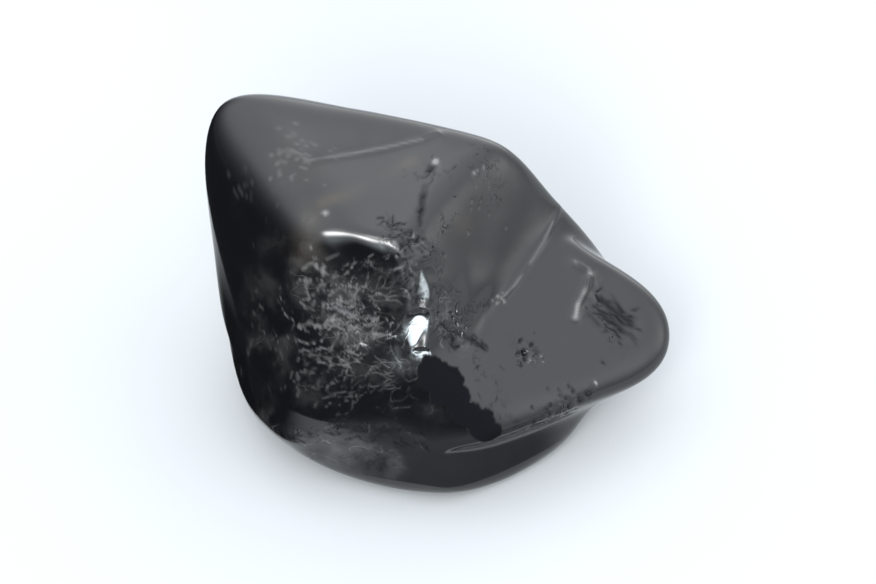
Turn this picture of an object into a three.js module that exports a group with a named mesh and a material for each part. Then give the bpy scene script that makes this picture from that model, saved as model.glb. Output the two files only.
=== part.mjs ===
// Tumbled black tourmaline: one loose, polished stone about 25 mm long.
//
// The stone is stated as a radius about its heart for every direction. Two rounded, many-sided
// bodies share that heart: a steep block, and a low nose that runs out of the block's right side.
// Each body is a set of flat facets whose edges tumbling has rounded. A younger break then cuts
// both with a crisp front face. Lumps, hollows, crests and ledges are laid on the radius, and the
// underside is worn flat where the stone rests.

import * as THREE from "three";
import { mergeVertices } from "three/addons/utils/BufferGeometryUtils.js";

// ---------------------------------------------------------------- driving dimensions, millimetres
const HEART_HEIGHT = 8.2; // from the resting face up to the heart
const BASE_WEAR = 0.8; // how far the rounded underside is worn away to the flat resting face
const BASE_EDGE = 0.5; // half height over which the resting face rolls up into the sides
const MESH_DETAIL = 20; // cuts along each edge of the starting icosahedron

// How crisp the rounded edges are: higher is crisper.
const BLOCK_CRISPNESS = 13;
const NOSE_CRISPNESS = 8;
const JOIN_CRISPNESS = 15; // of the crease where the nose leaves the block
const FRONT_CRISPNESS = 30; // of the edges of the front break

const RAD = Math.PI / 180;

// Facets: [azimuth, elevation, distance from the heart], in degrees and millimetres. Azimuth 0 is
// the nose's side, -90 the front.
const BLOCK_FACETS = {
  top: [-58, 79, 6.6],
  leftFront: [-141, 17, 8.2],
  leftBevel: [-138, 45, 8.95],
  right: [-37, 32, 3.3],
  corner: [-60, 22, 3.75],
  left: [183, -7, 14.05],
  leftLow: [-175, -11, 11.85],
  backRim: [76, 46, 10.1],
  backLeftRim: [91, 48, 12.75],
  backRightRim: [33, 30, 8.9],
  backRight: [77, 2, 7.2],
  backLeft: [128, -12, 11.65],
  bellyLeft: [-133, -42, 10.8],
  bellyFront: [-93, -47, 10.25],
  bellyRight: [-46, -30, 9.75],
  bellyBack: [82, -40, 10],
  rightEnd: [-2, -10, 9.05],
  resting: [0, -90, HEART_HEIGHT + BASE_WEAR],
};

const NOSE_FACETS = {
  apron: [-49, 52, 2.65],
  tip: [-1, 6, 15],
  tipUpper: [21, 25, 12.65],
  tipRim: [52, 43, 6.25],
  tipLower: [-18, -9, 15.2],
  tipBelly: [-58, -43, 11.2],
  bellyRight: [-64, -34, 8.1],
  bellyFront: [-96, -42, 8.75],
  backRight: [76, 7, 7.05],
  bellyBack: [51, -47, 9.35],
  inner: [184, -3, 3.05],
  bellyBackLeft: [128, -38, 6.6],
  resting: [0, -90, HEART_HEIGHT + BASE_WEAR],
};

const FRONT_FACETS = {
  face: [-98, 25, 4.65],
  uprightBand: [-105, -2, 7.3],
};

// Lumps and hollows: where (azimuth, elevation), how wide (degrees) and how high (mm, minus sinks).
const SWELLINGS = [
  { name: "lump low on the front face", at: [-120, 4], wide: 14, rise: 0.12 },
  { name: "knob at the front crest's end", at: [-112, 72], wide: 6, rise: 0.2 },
  { name: "upper lump of the corner", at: [-106, 54], wide: 6, rise: 0.16 },
  { name: "lower lump of the corner", at: [-102, 18], wide: 9, rise: 0.26 },
  { name: "scoop behind the top crest", at: [132, 47], wide: 13, rise: -0.25 },
  { name: "sag of the top face", at: [-175, 63], wide: 14, rise: -0.12 },
  { name: "swell of the right face", at: [34, 50], wide: 16, rise: 0.14 },
  { name: "recess of the nose", at: [4, -5], wide: 4.5, rise: -0.25 },
  { name: "pitted hollow of the apron", at: [-27, -5], wide: 7, rise: -0.1 },
  { name: "dent of the left face", at: [-165, 8], wide: 15, rise: -0.25 },
  { name: "fracture hollow of the back", at: [100, 14], wide: 15, rise: -0.6 },
  { name: "dent of the back left", at: [150, 2], wide: 14, rise: -0.45 },
  { name: "swell of the back right", at: [50, -12], wide: 15, rise: 0.3 },
  { name: "hollow of the nose's underside", at: [-4, -36], wide: 12, rise: -0.3 },
  { name: "chip beside the resting face", at: [152, -44], wide: 9, rise: -0.4 },
];

// Crests and grooves: a path of places, how wide (degrees) and how high (mm, minus cuts in).
const CRESTS = [
  {
    name: "front crest",
    path: [[-168, 47], [-161, 54], [-151, 59], [-138, 63], [-122, 66]],
    wide: 4.5,
    rise: 0.12,
  },
  {
    name: "top crest",
    path: [[157, 42], [158, 47], [155, 52], [147, 56], [132, 59], [106, 60], [85, 54]],
    wide: 3,
    rise: 0.08,
  },
  { name: "nose crest", path: [[25, 8], [17, 4], [12, 1], [5, -2], [-2, -5]], wide: 3.5, rise: 0.1 },
  { name: "apron crest", path: [[35, 19], [16, 22], [-19, 21]], wide: 4, rise: 0.05 },
  { name: "back crest", path: [[74, 30], [86, 20], [100, 2], [108, -16]], wide: 6, rise: 0.22 },
];

// Ledges: the ground steps down across a path, on the path's right seen from outside.
const LEDGES = [
  { name: "belly ledge", path: [[-150, -30], [-135, -30], [-118, -33], [-98, -34]], step: 0.2 },
  { name: "fracture ledge", path: [[-148, 36], [-139, 22], [-127, 15], [-116, 17]], step: 0.06 },
  { name: "apron foot", path: [[-50, -24], [-36, -23], [-22, -22]], step: 0.12 },
  { name: "back ledge", path: [[88, 6], [100, -2], [114, -3], [128, 4]], step: 0.28 },
  { name: "left ledge", path: [[168, -12], [-178, -16], [-164, -14]], step: 0.16 },
];
const LEDGE_SHARPNESS = 2.2; // degrees over which a ledge drops
const LEDGE_FADE = 10; // degrees beyond which its step has healed

// Slow waves that keep the faces from being dead flat: wave direction, waves a radian, phase, mm.
const WAVES = [
  { along: [0.8, 0.5, 0.3], count: 5.1, phase: 0.4, rise: 0.07 },
  { along: [-0.4, 0.9, 0.2], count: 6.7, phase: 2.1, rise: 0.05 },
  { along: [0.2, -0.4, 0.9], count: 7.9, phase: 4.0, rise: 0.045 },
  { along: [0.6, 0.1, -0.8], count: 10.3, phase: 1.3, rise: 0.03 },
];

// ---------------------------------------------------------------- form
function direction(azimuth, elevation) {
  const around = azimuth * RAD;
  const up = elevation * RAD;
  return new THREE.Vector3(
    Math.cos(up) * Math.cos(around),
    Math.cos(up) * Math.sin(around),
    Math.sin(up),
  );
}

/** Facets as outward normals already divided by their distances. */
function facetPlanes(facets) {
  return Object.values(facets).map(([azimuth, elevation, distance]) =>
    direction(azimuth, elevation).divideScalar(distance),
  );
}

/** Radius of a many-sided body with rounded edges: a power mean of its facets' reaches. It has no
 * end where no facet faces the direction. */
function bodyRadius(toward, planes, crispness) {
  let sum = 0;
  for (const plane of planes) {
    const reach = toward.dot(plane);
    if (reach > 0) {
      sum += reach ** crispness;
    }
  }
  return sum ** (-1 / crispness);
}

function bell(distance, width) {
  return Math.exp(-((distance / width) ** 2));
}

/** Degrees from a direction to the nearest place on a path, and how far right of the path it is. */
function pathOffset(toward, places) {
  let nearest = { angle: Infinity, right: 0 };
  for (let i = 0; i + 1 < places.length; i += 1) {
    const start = places[i];
    const run = places[i + 1].clone().sub(start);
    const along = toward.clone().sub(start).dot(run) / run.lengthSq();
    const foot = run.clone().multiplyScalar(THREE.MathUtils.clamp(along, 0, 1)).add(start);
    const angle = foot.normalize().distanceTo(toward) / RAD;
    if (angle < nearest.angle) {
      nearest = { angle, right: run.cross(start).normalize().dot(toward) / RAD };
    }
  }
  return nearest;
}

function toPlaces(path) {
  return path.map(([azimuth, elevation]) => direction(azimuth, elevation));
}

const blockPlanes = facetPlanes(BLOCK_FACETS);
const nosePlanes = facetPlanes(NOSE_FACETS);
const frontPlanes = facetPlanes(FRONT_FACETS);
const swellings = SWELLINGS.map((item) => ({ ...item, centre: direction(...item.at) }));
const crests = CRESTS.map((item) => ({ ...item, places: toPlaces(item.path) }));
const ledges = LEDGES.map((item) => ({ ...item, places: toPlaces(item.path) }));
const waves = WAVES.map((item) => ({ ...item, axis: new THREE.Vector3(...item.along).normalize() }));

/** How far the worn surface stands out from the two bodies, in mm. */
function relief(toward) {
  let height = 0;
  for (const { centre, wide, rise } of swellings) {
    height += rise * bell(centre.distanceTo(toward) / RAD, wide);
  }
  for (const { places, wide, rise } of crests) {
    height += rise * bell(pathOffset(toward, places).angle, wide);
  }
  for (const { places, step } of ledges) {
    const { angle, right } = pathOffset(toward, places);
    const drop = Math.tanh(right / LEDGE_SHARPNESS);
    height -= 0.5 * step * (1 + drop) * bell(angle, LEDGE_FADE);
  }
  for (const { axis, count, phase, rise } of waves) {
    height += rise * Math.cos(count * axis.dot(toward) + phase);
  }
  return height;
}

/** Reaches as far as the farther of block and nose, but no farther than the front break. */
function stoneRadius(toward) {
  const block = bodyRadius(toward, blockPlanes, BLOCK_CRISPNESS);
  const nose = bodyRadius(toward, nosePlanes, NOSE_CRISPNESS);
  const joined = (block ** JOIN_CRISPNESS + nose ** JOIN_CRISPNESS) ** (1 / JOIN_CRISPNESS);
  const front = bodyRadius(toward, frontPlanes, FRONT_CRISPNESS);
  const cut = (joined ** -FRONT_CRISPNESS + front ** -FRONT_CRISPNESS) ** (-1 / FRONT_CRISPNESS);
  return cut + relief(toward);
}

/** Height above the resting face: flat below it, and rolled up into the sides just above. */
function wornHeight(height) {
  if (height <= -BASE_EDGE) {
    return 0;
  }
  return height >= BASE_EDGE ? height : (height + BASE_EDGE) ** 2 / (4 * BASE_EDGE);
}

// ---------------------------------------------------------------- stone
function stoneGeometry() {
  const ball = new THREE.IcosahedronGeometry(1, MESH_DETAIL);
  ball.deleteAttribute("normal");
  ball.deleteAttribute("uv");
  const geometry = mergeVertices(ball);
  const points = geometry.getAttribute("position");
  const point = new THREE.Vector3();
  for (let i = 0; i < points.count; i += 1) {
    point.fromBufferAttribute(points, i).normalize();
    point.multiplyScalar(stoneRadius(point));
    points.setXYZ(i, point.x, point.y, wornHeight(point.z + HEART_HEIGHT));
  }
  geometry.computeBoundingBox();
  const middle = geometry.boundingBox.getCenter(new THREE.Vector3());
  geometry.translate(-middle.x, -middle.y, 0);
  geometry.computeVertexNormals();
  return geometry;
}

const polishedTourmaline = new THREE.MeshStandardMaterial({
  name: "polished black tourmaline",
  color: 0x16171a,
  roughness: 0.12,
  metalness: 0,
});

const stone = new THREE.Mesh(stoneGeometry(), polishedTourmaline);
stone.name = "tourmaline_stone";

const group = new THREE.Group();
group.name = "tumbled_black_tourmaline";
group.add(stone);

export default group;
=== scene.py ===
"""A tumbled black tourmaline about 25 mm long: its finished surface, its floor, light and camera.

The stone's surface is a radius about its heart for every direction of a closed grid. Two bodies of
flat facets with rounded edges share the heart, a steep block and a low nose, and a third cuts off
the front. Lumps, crests, ledges, cracks, pits and broken ground are laid on that, and the underside
is worn flat.
"""

import logging
import math
from dataclasses import dataclass, field
from enum import Enum

import bpy
import numpy as np
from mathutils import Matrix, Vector


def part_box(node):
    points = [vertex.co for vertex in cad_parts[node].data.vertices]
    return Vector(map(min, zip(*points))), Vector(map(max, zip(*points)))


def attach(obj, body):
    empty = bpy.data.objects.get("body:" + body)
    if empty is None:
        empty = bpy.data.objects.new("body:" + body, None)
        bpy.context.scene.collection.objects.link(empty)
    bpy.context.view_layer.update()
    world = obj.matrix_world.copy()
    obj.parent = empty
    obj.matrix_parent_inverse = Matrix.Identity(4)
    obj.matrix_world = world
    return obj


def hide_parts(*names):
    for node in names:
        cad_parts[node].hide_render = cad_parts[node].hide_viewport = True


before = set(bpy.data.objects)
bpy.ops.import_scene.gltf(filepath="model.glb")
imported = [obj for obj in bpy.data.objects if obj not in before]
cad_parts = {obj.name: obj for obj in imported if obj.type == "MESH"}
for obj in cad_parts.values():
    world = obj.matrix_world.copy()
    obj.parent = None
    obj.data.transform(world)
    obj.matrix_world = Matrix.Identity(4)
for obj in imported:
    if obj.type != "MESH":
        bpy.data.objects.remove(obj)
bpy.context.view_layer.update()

NODE = "tourmaline_stone"
BODY = "root"
MM = 0.001  # metres in a millimetre
TINY = 1e-300  # keeps a division from failing

# Noise.
PLACE_FACTORS = (73856093, 19349663, 83492791)  # spread a place's three numbers over the bits
SEED_FACTOR, SEED_START = 2654435761, 97
MIXING = ((16, 0x45D9F3B), (15, 0x2C1B3C6D), (16, 0x297A2D39))  # bits to shift by, and factors
WORD = 0xFFFFFFFF  # the largest number of 32 bits
FAR_OFF, SEED_STEP = 1000.0, 17.3  # lattice steps that keep places positive, and seeds apart
OCTAVES = 3
CREST_STEP = 7  # from the seed of one octave of crests to the next
DRIFT_SEEDS = (11, 23, 37)

# The form: lengths in mm, or in widths of a path or scatter. A noise is its seed, size and share.
TRAIL_STEP = 2.0  # degrees between the points of a path laid on the stone
PATCH_REACH, RIDGE_REACH = 3, 4  # widths from a path at which a bell is let go
FLAT_EDGE = 0.06  # over which a worn flat's edge is rounded
FLAT_REACH, FLAT_END, FLAT_WHOLE = 2, 1.7, 0.6  # widths: looked at, ended, still whole
CRACK_SEED, CRACK_STEP = 200, 3  # of the first crack's noise, and to the next crack's
CRACK_BENDS = ((1.1, 1.0), (0.35, 0.5))  # size and share of the noises that bend it
CRACK_BREAK, CRACK_ENDED, CRACK_WHOLE = 0.8, -0.8, 0.1  # size and values of the one that breaks it
PIT_SPREADS, PIT_WIDTHS = 4, 2  # how far a scatter's pits are looked for, in both
PIT_EDGE = (71, 0.3, 0.5)  # noise that makes its edge ragged
PIT_SIZES = PIT_SHADES = (0.4, 1.0)  # least and most, of the scatter's own
STROKE_POINTS = 7  # along a stroke
STROKE_WILD = 0.55  # how far strokes stray from the way most of them run
STROKE_BEND = 1.2  # lengths it bends aside at a whole length from its middle
STROKE_PUSH = (301, 0.6, 0.14)  # noise that frays it
STROKE_LENGTHS, STROKE_SHADES = (0.25, 1.0), (0.3, 1.0)  # least and most, of the scatter's own
STROKE_MARGIN = 0.8  # beyond its length, where it is still looked for
STROKE_DEPTH = 0.01  # of a dark one
CHIP_SIZE, CHIP_RISE = 1.1, 0.1  # across a chip of the broken ground, and its rise
CHIP_PUSH = (41, 0.9, 0.35)  # noise that bends chips
CHIP_SEEDS, CHIP_START = (60, 61, 62), 500  # of its tilt, and steps that keep places positive
TORN_SIZE, TORN_RISE, TORN_POWER = 1.2, 0.1, 3  # its torn crests
BROKEN_LEVEL, BROKEN_NOISE = 0.75, (5, 1.6, 0.6)  # how broken a patch is, and how that varies
LOBE_NOISE, LOBE_EDGE = (91, 0.5, 0.24), (0.42, 0.58)  # and the covers where a lobe starts, is whole
POLISH_NOISE = (3, 2.2, 0.012)  # unevenness that tumbling leaves

# The studio.
FLAG_FOOT = 0.1  # mm between the floor and a dark card
FLAG_CUTS = 41  # points along and up a dark card
FLAG_BLUE = 1.05  # its blue over its red
HORIZON_EDGE = (-0.05, 0.95)  # heights of a direction that are all horizon, and all zenith
CLIP_DISTANCES = (0.01, 10.0)  # m

Array = np.ndarray
Pair = tuple[float, float]
Triple = tuple[float, float, float]
Path = tuple[Pair, ...]
Colour = tuple[float, float, float, float]

TOP_CREST: Path = ((155, 43), (157, 47), (149, 51), (127, 57), (100, 57), (90, 54))
BELLY_EDGE: Path = ((-150, -24), (-130, -22), (-112, -24), (-98, -28))

log = logging.getLogger("tourmaline")


# ---- places and noise


def direction(azimuth: float, elevation: float) -> Array:
    """Unit vector, from degrees round from +X with +Y at 90, and degrees above the horizon."""
    around, up = math.radians(azimuth), math.radians(elevation)
    return np.array([math.cos(up) * math.cos(around), math.cos(up) * math.sin(around), math.sin(up)])


def lengths(vectors: Array) -> Array:
    """Length of each row."""
    return np.linalg.norm(vectors, axis=-1)


def normalised(vectors: Array) -> Array:
    """Each row divided by its length."""
    return vectors / np.linalg.norm(vectors, axis=-1, keepdims=True)


def bell(distance: Array, width: float) -> Array:
    """Smooth hump, one at distance 0: e to the minus squared distance over width."""
    return np.exp(-((distance / width) ** 2))


def ramp(value: Array, low: float, high: float) -> Array:
    """Smooth step from 0 at low to 1 at high: t squared times three less two t."""
    t = np.clip((value - low) / (high - low), 0.0, 1.0)
    return t * t * (3.0 - 2.0 * t)


@dataclass(frozen=True)
class LatticeNoise:
    """Repeatable random values at whole-number places, blended smoothly in between."""

    seed: int

    def corners(self, cell: Array) -> Array:
        """Random values of whole-number places.

        Args:
            cell: whole numbers, one row of three for each place.

        Returns:
            A value from -1 to 1 each: the numbers times their factors and the seed, mixed.
        """
        whole = np.uint64
        x, y, z = (cell[..., axis].astype(whole) * whole(PLACE_FACTORS[axis]) for axis in range(3))
        mixed = (x ^ y ^ z ^ whole(self.seed * SEED_FACTOR + SEED_START)) & whole(WORD)
        for shift, factor in MIXING:
            mixed = ((mixed ^ (mixed >> whole(shift))) * whole(factor)) & whole(WORD)
        return mixed.astype(float) / (WORD // 2) - 1.0

    def value(self, points: Array, size: float) -> Array:
        """Smooth noise from about -1 to 1.

        Args:
            points: places in mm, one row each.
            size: mm from one lattice place to the next.

        Returns:
            The eight corner values round each point, weighted by smooth steps along X, Y and Z.
        """
        scaled = points / size + FAR_OFF + SEED_STEP * self.seed
        cell = np.floor(scaled)
        t = scaled - cell
        t = t * t * t * (t * (6.0 * t - 15.0) + 10.0)
        cell = cell.astype(np.int64)
        total = np.zeros(len(points))
        for corner in np.ndindex(2, 2, 2):
            pick = np.array(corner)
            weight = np.prod(np.where(pick == 1, t, 1.0 - t), axis=-1)
            total += weight * self.corners(cell + pick)
        return total

    def cloud(self, points: Array, size: float, crested: bool = False) -> Array:
        """Noise on noise, from about -1 to 1.

        Args:
            points: places in mm, one row each.
            size: mm across the largest noise.
            crested: whether to make thin crests instead, where the noise crosses zero: one less its
                absolute value, from 0 to 1.

        Returns:
            The sum of the octaves over that of their heights, each half the size and height of the
            one before.
        """
        total = np.zeros(len(points))
        for i in range(OCTAVES):
            seed = self.seed + i * (CREST_STEP if crested else 1)
            layer = LatticeNoise(seed).value(points, size / 2**i)
            total += (1.0 - np.abs(layer) if crested else layer) / 2**i
        return total / (2.0 - 0.5 ** (OCTAVES - 1))

    def drift(self, points: Array, size: float) -> Array:
        """Three unlike noises side by side, to push places about."""
        return np.stack([LatticeNoise(self.seed + k).value(points, size) for k in DRIFT_SEEDS], -1)


def grain(points: Array, seed: int, size: float, share: float) -> Array:
    """Share times a cloud of noise."""
    return share * LatticeNoise(seed).cloud(points, size)


def frayed(points: Array, seed: int, size: float, reach: float) -> Array:
    """Places pushed about by noise, by up to about reach."""
    return points + reach * LatticeNoise(seed).drift(points, size)


def path_offset(toward: Array, path: Path) -> tuple[Array, Array]:
    """How far directions lie from a path of places joined by great circles.

    Args:
        toward: unit vectors, one row each.
        path: azimuth and elevation of each place, in degrees; one place alone is a spot.

    Returns:
        Degrees to the path's nearest point, and degrees to the right of it seen from outside.
    """
    places = [direction(*place) for place in path]
    if len(places) == 1:
        angle = np.degrees(lengths(toward - places[0]))
        return angle, angle
    nearest = np.full(len(toward), np.inf)
    rightward = np.zeros(len(toward))
    for start, end in zip(places[:-1], places[1:]):
        run = end - start
        along = np.clip((toward - start) @ run / (run @ run), 0.0, 1.0)
        foot = normalised(start + along[:, None] * run)
        angle = np.degrees(lengths(foot - toward))
        side = np.degrees(toward @ normalised(np.cross(run, start)))
        closer = angle < nearest
        nearest = np.where(closer, angle, nearest)
        rightward = np.where(closer, side, rightward)
    return nearest, rightward


def outward(points: Array, squares: Array) -> Array:
    """Unit normals of a closed grid.

    Args:
        points: its points, one row each.
        squares: four rows of points for each square, anticlockwise from outside.

    Returns:
        For each point the sum of its squares' cross products of diagonals, made unit length.
    """
    corners = points[squares]
    across = np.cross(corners[:, 2] - corners[:, 0], corners[:, 3] - corners[:, 1])
    total = np.zeros_like(points)
    for corner in range(4):
        np.add.at(total, squares[:, corner], across)
    return normalised(total)


def stretch_offset(
    spots: Array, start: Array, end: Array
) -> tuple[Array, Array]:
    """How far places lie from a straight stretch.

    Args:
        spots: places, one row each.
        start: one end of the stretch.
        end: the other.

    Returns:
        Distance to the stretch's nearest point, and how far along it that is, from 0 to 1.
    """
    run = end - start
    along = np.clip((spots - start) @ run / max(run @ run, TINY), 0.0, 1.0)
    return lengths(spots - start - along[:, None] * run), along


def stroke_cover(spots: Array, curve: Array, wide: float) -> Array:
    """How strongly a thin stroke marks places.

    Args:
        spots: places near it, one row each.
        curve: STROKE_POINTS points along it, which are laid on the nearest places.
        wide: mm at which its mark has fallen to about a third.

    Returns:
        A bell of the distance from the stroke, thinned towards its ends by the fourth power of the
        way from its middle.
    """
    apart = lengths(spots[:, None] - curve[None])
    laid = spots[np.argmin(apart, axis=0)]
    nearest = np.full(len(spots), np.inf)
    taper = np.zeros(len(spots))
    for step, (start, end) in enumerate(zip(laid[:-1], laid[1:])):
        gap, way = stretch_offset(spots, start, end)
        reached = 2.0 * (step + way) / (STROKE_POINTS - 1) - 1.0
        taper = np.where(gap < nearest, 1.0 - reached**4, taper)
        nearest = np.minimum(nearest, gap)
    return taper * bell(nearest, wide)


def made_object(
    name: str, points: Array, faces: Array, values: dict[str, Array]
) -> bpy.types.Object:
    """Makes a mesh and its object, and links it to the scene.

    Args:
        name: the name of both.
        points: places in metres, one row each.
        faces: rows of points of each face.
        values: numbers to store at the points, by name.

    Returns:
        The object.
    """
    mesh = bpy.data.meshes.new(name)
    mesh.from_pydata(points, [], faces)
    for key, numbers in values.items():
        stored = mesh.attributes.new(key, "FLOAT", "POINT")
        stored.data.foreach_set("value", numbers.ravel().astype(np.float32))
    mesh.update()
    made = bpy.data.objects.new(name, mesh)
    bpy.context.scene.collection.objects.link(made)
    return made


# ---- the stone's form


@dataclass(frozen=True)
class FacetBody:
    """A many-sided body with rounded edges."""

    facets: tuple[Triple, ...]  # azimuth and elevation of its normal, mm to it
    crispness: float

    def radius(self, toward: Array) -> Array:
        """Distance from the heart to the surface, in mm.

        Args:
            toward: unit vectors, one row each.

        Returns:
            The sum of each positive (direction . normal / distance) to the power crispness, to the
            power minus one over crispness.
        """
        planes = np.stack([direction(*facet[:2]) / facet[2] for facet in self.facets])
        reach = np.maximum(toward @ planes.T, 0.0)
        total = (reach**self.crispness).sum(axis=1)
        return np.maximum(total, TINY) ** (-1.0 / self.crispness)


@dataclass(frozen=True)
class Crest:
    """A rounded ridge along a path or a lump at a spot; a groove or a hollow if rise is negative."""

    path: Path
    wide: float  # degrees
    rise: float  # mm

    def height(self, toward: Array) -> Array:
        """Rise times a bell of the angle from its path."""
        angle, _ = path_offset(toward, self.path)
        return self.rise * bell(angle, self.wide)


@dataclass(frozen=True)
class Ledge:
    """A step across a path: the ground drops on the path's right."""

    path: Path
    step: float  # mm
    sharpness: float = 2.2  # degrees over which it drops
    fade: float = 10.0  # degrees beyond which the step has healed

    def height(self, toward: Array) -> Array:
        """Minus half the step, times one plus tanh of the offset, faded by a bell."""
        angle, rightward = path_offset(toward, self.path)
        return -0.5 * self.step * (1.0 + np.tanh(rightward / self.sharpness)) * bell(angle, self.fade)


@dataclass(frozen=True)
class Wave:
    """A slow wave that keeps the faces from being dead flat."""

    along: Triple
    count: float  # radians of phase for each radian of direction
    phase: float
    rise: float  # mm

    def height(self, toward: Array) -> Array:
        """Rise times the cosine of count times the direction along its axis, plus phase."""
        axis = normalised(np.array(self.along))
        return self.rise * np.cos(self.count * (toward @ axis) + self.phase)


@dataclass(frozen=True)
class Flat:
    """A small flat worn along a path: its plane takes off what stands above it."""

    path: Path
    wide: float  # mm from the path to its end
    azimuth: float  # of its normal, degrees
    elevation: float
    depth: float  # mm below the tumbled form along the path
    polish: float = 1.0  # from 0, as misty as the ground round it, to 1


@dataclass(frozen=True)
class Patch:
    """A soft-edged area along a path, where the surface is of another kind."""

    path: Path
    wide: float  # mm
    strength: float = 1.0


@dataclass(frozen=True)
class Ridge:
    """A low sharp ridge of the polish along a path, or a scoop where rise is negative."""

    path: Path
    wide: float  # mm
    rise: float  # mm


@dataclass(frozen=True, kw_only=True)
class Tinted:
    """How strongly something shows as grey dust, as matt black and as a pale fracture; in places these also
    paint highlights, shade and glints.
    """

    dust: float = 0.0
    dark: float = 0.0
    pale: float = 0.0


@dataclass(frozen=True)
class Crack(Tinted):
    """A thin wandering groove, with grey dust in it or left dark; some paint a crest's highlight, some the
    shade in the nose's recess.
    """

    path: Path
    wide: float  # mm
    depth: float  # mm
    wander: float = 0.25  # mm


@dataclass(frozen=True)
class Pits(Tinted):
    """A scatter of small pits."""

    at: Pair
    spread: float  # mm
    count: int
    wide: float  # mm, the largest
    depth: float  # mm, the deepest
    seed: int


@dataclass(frozen=True)
class Strokes(Tinted):
    """A scatter of thin curved strokes under the polish, pale or dark; the pale partly paint glints, the
    dark in the nose's recess paint shade.
    """

    path: Path  # their middles lie about it
    spread: float  # mm
    count: int
    longest: float  # mm
    wide: float  # mm
    along: Triple  # the way most of them run
    seed: int


@dataclass
class Ground:
    """What lies on the surface's points: height in mm, and dust, dark and pale marks from 0 up, in places
    painted light and shade.
    """

    height: Array
    dust: Array
    dark: Array
    pale: Array

    def tint(self, rows: Array | slice, item: Tinted, cover: Array) -> None:
        """Lays an item's dust, dark and pale where they were weaker.

        Args:
            rows: which of the points.
            item: what shows on them.
            cover: how strongly it lies on each, from 0 to 1.
        """
        for kind in ("dust", "dark", "pale"):
            values = getattr(self, kind)
            values[rows] = np.maximum(values[rows], getattr(item, kind) * cover)


class Mark(Enum):
    """What is stored on the mesh for the finish to read, by name."""

    BROKEN = "broken"  # unpolished, broken ground
    WEB = "web"  # pale haze of fractures under the polish, partly painted glints, and a painted floor reflection on the belly
    VEIN = "vein"  # pale strokes in it, partly painted glints
    CHIPPED = "chipped"  # small dark chips in the polish, and painted shade in the nose's recess
    DUST = "dust"  # grey dust in cracks and pits, and painted highlights: bright specks and crest lines
    DARK = "dark"  # matt black: cracks, pits and strokes, and painted shade in the dull patches between front and apron and in the nose's recess
    WARM = "warm"  # brownish tint that shows through the polish, and a painted yellowish reflection on the top face
    MISTY = "misty"  # fine scratches that blur the gloss


def cube_grid(cuts: int) -> tuple[Array, Array]:
    """Closed grid of directions: the six sides of a cube, blown up to a ball, with shared seams.

    Args:
        cuts: squares along each edge of the cube.

    Returns:
        Unit vectors, and squares as four rows of them each, anticlockwise from outside. A vector is
        the tangents of even steps from -45 to 45 degrees across and up a side, made unit length.
    """
    steps = np.arange(cuts + 1)
    across, up = np.meshgrid(steps, steps, indexing="ij")
    sides = []
    for axis in range(3):
        for far in (True, False):
            place = np.empty((cuts + 1, cuts + 1, 3), dtype=np.int64)
            place[..., axis] = cuts if far else 0
            place[..., (axis + 1) % 3] = across if far else up
            place[..., (axis + 2) % 3] = up if far else across
            sides.append(place)
    places = np.stack(sides)
    code = (places[..., 0] * (cuts + 1) + places[..., 1]) * (cuts + 1) + places[..., 2]
    _, first, index = np.unique(code.ravel(), return_index=True, return_inverse=True)
    tangent = np.tan(np.linspace(-math.pi / 4, math.pi / 4, cuts + 1))
    toward = normalised(tangent[places.reshape(-1, 3)[first]])
    return toward, grid_squares(index.reshape(6, cuts + 1, cuts + 1))


def grid_squares(index: Array) -> Array:
    """The four corners of each square of grids of points' rows, one row each."""
    corners = (index[..., :-1, :-1], index[..., 1:, :-1], index[..., 1:, 1:], index[..., :-1, 1:])
    return np.stack(corners, axis=-1).reshape(-1, 4)


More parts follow.
